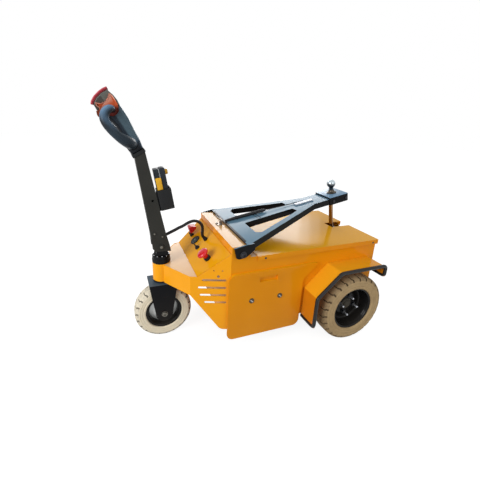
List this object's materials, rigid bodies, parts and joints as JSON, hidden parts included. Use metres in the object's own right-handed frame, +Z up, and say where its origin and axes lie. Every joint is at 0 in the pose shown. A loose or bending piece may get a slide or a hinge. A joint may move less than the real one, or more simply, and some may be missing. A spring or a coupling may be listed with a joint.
{
  "type": "pedestrian electric tow tractor",
  "caption": "Walk-behind electric tow tractor: box body on a driven rear axle, steered front wheel under an upright tiller, and a powered hitch arm that lifts a tow ball over the rear deck.",
  "frame": {"origin": "centre of the bounding box's bottom face, on the ground", "axes": "+X towards the tow ball and the driven axle, +Y to the left of a person at the tiller who looks towards the hitch, +Z up"},
  "size_m": [1.4358, 0.8, 1.2644],
  "materials": {
    "yellow_paint": "gloss",
    "black_paint": "gloss",
    "olive_black_paint": "matte",
    "tyre_rubber": "matte",
    "edge_rubber": "satin",
    "zinc_steel": "satin",
    "chrome": "polished",
    "grip_plastic": "satin",
    "nose_plastic": "satin",
    "rocker_plastic": "gloss",
    "red_plastic": "gloss",
    "black_plastic": "satin",
    "battery_case": "matte",
    "motor_paint": "satin"
  },
  "bodies": {
    "chassis": {"body_shell": "yellow_paint", "floor_pan": "black_paint", "lid": "yellow_paint", "side_cover_l": "yellow_paint", "side_cover_r": "yellow_paint", "cover_locks": "zinc_steel", "console_panel": "yellow_paint", "cowl_side_l": "yellow_paint", "cowl_side_r": "yellow_paint", "neck_plates": "yellow_paint", "head_tube": "yellow_paint", "gauge": "black_plastic", "key_switch": "black_plastic", "stop_button": "red_plastic", "charge_plug": "red_plastic", "cable_gland": "black_plastic", "fender_l": "yellow_paint", "fender_r": "yellow_paint", "fender_trim_l": "edge_rubber", "fender_trim_r": "edge_rubber", "drive_axle": "motor_paint", "drive_motor": "motor_paint", "battery": "battery_case", "lift_mount": "black_paint", "hitch_pivots": "zinc_steel", "cable_bracket": "zinc_steel", "tiller_cable": "edge_rubber"},
    "steering_fork": {"steer_stem": "zinc_steel", "steer_head": "black_paint", "fork": "black_paint", "front_axle_bolt": "zinc_steel", "tiller_cable_end": "edge_rubber"},
    "front_wheel": {"front_rim": "black_paint", "front_tyre": "tyre_rubber"},
    "tiller": {"tiller_column": "olive_black_paint", "tiller_collar": "black_plastic", "tiller_head": "grip_plastic", "head_nose": "nose_plastic", "hand_loops": "grip_plastic", "thumb_rockers": "rocker_plastic", "safety_button": "red_plastic", "holster": "black_plastic", "handset": "black_plastic"},
    "rear_wheel_l": {"rear_hub_l": "motor_paint", "rear_rim_l": "black_paint", "rear_tyre_l": "tyre_rubber"},
    "rear_wheel_r": {"rear_hub_r": "motor_paint", "rear_rim_r": "black_paint", "rear_tyre_r": "tyre_rubber"},
    "hitch": {"hitch_arm": "black_paint", "ball_plate": "black_paint", "tow_ball": "chrome", "release_cable": "edge_rubber"},
    "lift_cylinder": {"lift_barrel": "black_paint"},
    "lift_piston": {"lift_rod": "chrome"}
  },
  "joints": [
    {"name": "steering", "type": "hinge", "parent": "chassis", "child": "steering_fork", "pos_m": [-0.45414, 0, 0.4], "axis": [0, 0, 1], "range_deg": [-90, 90], "deforming": ["tiller_cable"]},
    {"name": "front_wheel_spin", "type": "hinge", "parent": "steering_fork", "child": "front_wheel", "pos_m": [-0.45414, 0, 0.151], "axis": [0, 1, 0], "continuous": true},
    {"name": "tiller_tilt", "type": "hinge", "parent": "steering_fork", "child": "tiller", "pos_m": [-0.45614, 0, 0.531], "axis": [0, -1, 0], "range_deg": [0, 65], "stiffness_Nm_per_rad": 25, "springref_deg": -57.3, "deforming": ["tiller_cable_end"]},
    {"name": "rear_wheel_l_spin", "type": "hinge", "parent": "chassis", "child": "rear_wheel_l", "pos_m": [0.50986, 0.334, 0.1905], "axis": [0, 1, 0], "continuous": true},
    {"name": "rear_wheel_r_spin", "type": "hinge", "parent": "chassis", "child": "rear_wheel_r", "pos_m": [0.50986, -0.334, 0.1905], "axis": [0, 1, 0], "continuous": true},
    {"name": "hitch_lift", "type": "hinge", "parent": "chassis", "child": "hitch", "pos_m": [-0.11514, 0, 0.555], "axis": [0, -1, 0], "range_deg": [-11, 8]},
    {"name": "lift_tilt", "type": "hinge", "parent": "chassis", "child": "lift_cylinder", "pos_m": [0.66686, 0, 0.19], "axis": [0, -1, 0], "range_deg": [-1, 1]},
    {"name": "rod_slide", "type": "slide", "parent": "lift_cylinder", "child": "lift_piston", "axis": [-0.1659, 0, 0.9861], "range_m": [-0.14, 0.102]}
  ],
  "couplings": [
    {"joint": "lift_tilt", "follows": "hitch_lift", "ratio": 0.04},
    {"joint": "rod_slide", "follows": "hitch_lift", "m_per_rad": 0.71}
  ]
}
